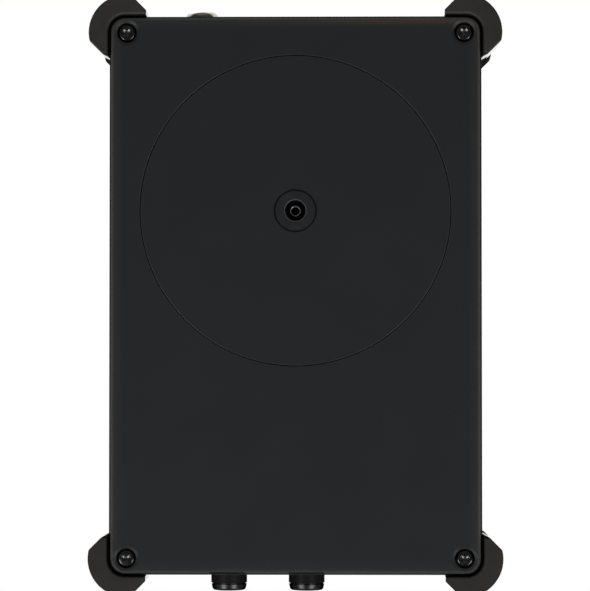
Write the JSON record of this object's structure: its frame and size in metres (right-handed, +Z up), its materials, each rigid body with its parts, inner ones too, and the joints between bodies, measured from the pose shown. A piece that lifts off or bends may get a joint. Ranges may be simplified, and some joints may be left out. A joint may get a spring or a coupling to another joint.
{
  "type": "usb audio interface",
  "caption": "Desktop audio interface: dark metal case with a round stand seat underneath, rubber corner bumpers, front knobs, sloping top with dial and screen.",
  "frame": {"origin": "under the middle of the case, on the plane that the corner bumpers stand on", "axes": "+Z up, +Y to the rear where the sockets are, +X to the right seen from the front"},
  "size_m": [0.1592, 0.2316, 0.0633],
  "materials": {
    "cover_metal": "fine powder coat, satin",
    "housing_metal": "fine powder coat, satin",
    "bumper_rubber": "matte moulded rubber",
    "dark_steel": "black oxide, slightly glossy",
    "bare_steel": "plain turned",
    "nickel": "polished nickel plate",
    "panel_metal": "fine powder coat, satin",
    "board": "green solder mask",
    "brass": "bare turned",
    "chip": "moulded",
    "can": "bare",
    "heat_sink": "black anodised",
    "socket_plastic": "moulded, satin",
    "nut_plastic": "moulded, satin",
    "knob_body": "matte moulded",
    "knob_end": "glossy",
    "dial_metal": "black anodised, turned",
    "dial_cap": "spun satin",
    "button_plastic": "soft matte",
    "glass": "clear over black",
    "screen": "dark display",
    "light_pipe": "clear, frosted end",
    "ribbon": "grey ribbon"
  },
  "bodies": {
    "case": {"bottom_cover": "cover_metal", "top_housing": "housing_metal", "rear_left_bumper": "bumper_rubber", "rear_right_bumper": "bumper_rubber", "front_left_bumper": "bumper_rubber", "front_right_bumper": "bumper_rubber", "bottom_screws": "dark_steel", "corner_posts": "can", "mount_bush": "dark_steel", "mount_insert": "bare_steel", "main_board": "board", "board_standoffs": "brass", "board_screws": "bare_steel", "board_chips": "chip", "board_capacitors": "can", "heat_sink": "heat_sink", "rear_panel": "panel_metal", "output_socket_left": "socket_plastic", "output_socket_right": "socket_plastic", "combo_socket_left": "socket_plastic", "combo_socket_right": "socket_plastic", "socket_contacts": "nickel", "socket_screws": "dark_steel", "socket_board": "board", "line_jack": "socket_plastic", "line_jack_ferrule": "nickel", "usb_socket": "bare_steel", "usb_tongue": "socket_plastic", "power_socket": "socket_plastic", "power_switch": "socket_plastic", "front_panel": "panel_metal", "front_board": "board", "phones_jack": "socket_plastic", "instrument_jack": "socket_plastic", "jack_nuts": "nut_plastic", "potentiometers": "bare_steel", "potentiometer_nuts": "nickel", "display_glass": "glass", "display_panel": "screen", "control_board": "board", "dial_encoder": "bare_steel", "dial_nut": "nickel", "button_switches": "chip", "status_lights": "light_pipe", "ribbon_cable": "ribbon"},
    "left_knob": {"left_knob": "knob_body", "left_knob_cap": "knob_end", "left_knob_shaft": "bare_steel"},
    "right_knob": {"right_knob": "knob_body", "right_knob_cap": "knob_end", "right_knob_shaft": "bare_steel"},
    "dial": {"dial": "dial_metal", "dial_cap": "dial_cap", "dial_shaft": "bare_steel"},
    "power_button": {"power_button": "button_plastic"},
    "left_front_button": {"left_front_button": "button_plastic"},
    "left_rear_button": {"left_rear_button": "button_plastic"},
    "right_front_button": {"right_front_button": "button_plastic"},
    "right_rear_button": {"right_rear_button": "button_plastic"}
  },
  "joints": [
    {"name": "left_knob_turn", "type": "hinge", "parent": "case", "child": "left_knob", "pos_m": [-0.0041, -0.11, 0.023], "axis": [0, -1, 0], "range_deg": [-150, 150]},
    {"name": "right_knob_turn", "type": "hinge", "parent": "case", "child": "right_knob", "pos_m": [0.0262, -0.11, 0.023], "axis": [0, -1, 0], "range_deg": [-150, 150]},
    {"name": "dial_turn", "type": "hinge", "parent": "case", "child": "dial", "pos_m": [0.032, -0.04885, 0.04446], "axis": [0, -0.0785, 0.9969], "continuous": true},
    {"name": "left_front_button_press", "type": "slide", "parent": "case", "child": "left_front_button", "axis": [0, 0.0785, -0.9969], "range_m": [0, 0.001], "stiffness_N_per_m": 600, "springref_m": -0.002},
    {"name": "left_rear_button_press", "type": "slide", "parent": "case", "child": "left_rear_button", "axis": [0, 0.0785, -0.9969], "range_m": [0, 0.001], "stiffness_N_per_m": 600, "springref_m": -0.002},
    {"name": "right_front_button_press", "type": "slide", "parent": "case", "child": "right_front_button", "axis": [0, 0.0785, -0.9969], "range_m": [0, 0.001], "stiffness_N_per_m": 600, "springref_m": -0.002},
    {"name": "right_rear_button_press", "type": "slide", "parent": "case", "child": "right_rear_button", "axis": [0, 0.0785, -0.9969], "range_m": [0, 0.001], "stiffness_N_per_m": 600, "springref_m": -0.002},
    {"name": "power_button_press", "type": "slide", "parent": "case", "child": "power_button", "axis": [0, -1, 0], "range_m": [0, 0.0015], "stiffness_N_per_m": 600, "springref_m": -0.002}
  ]
}
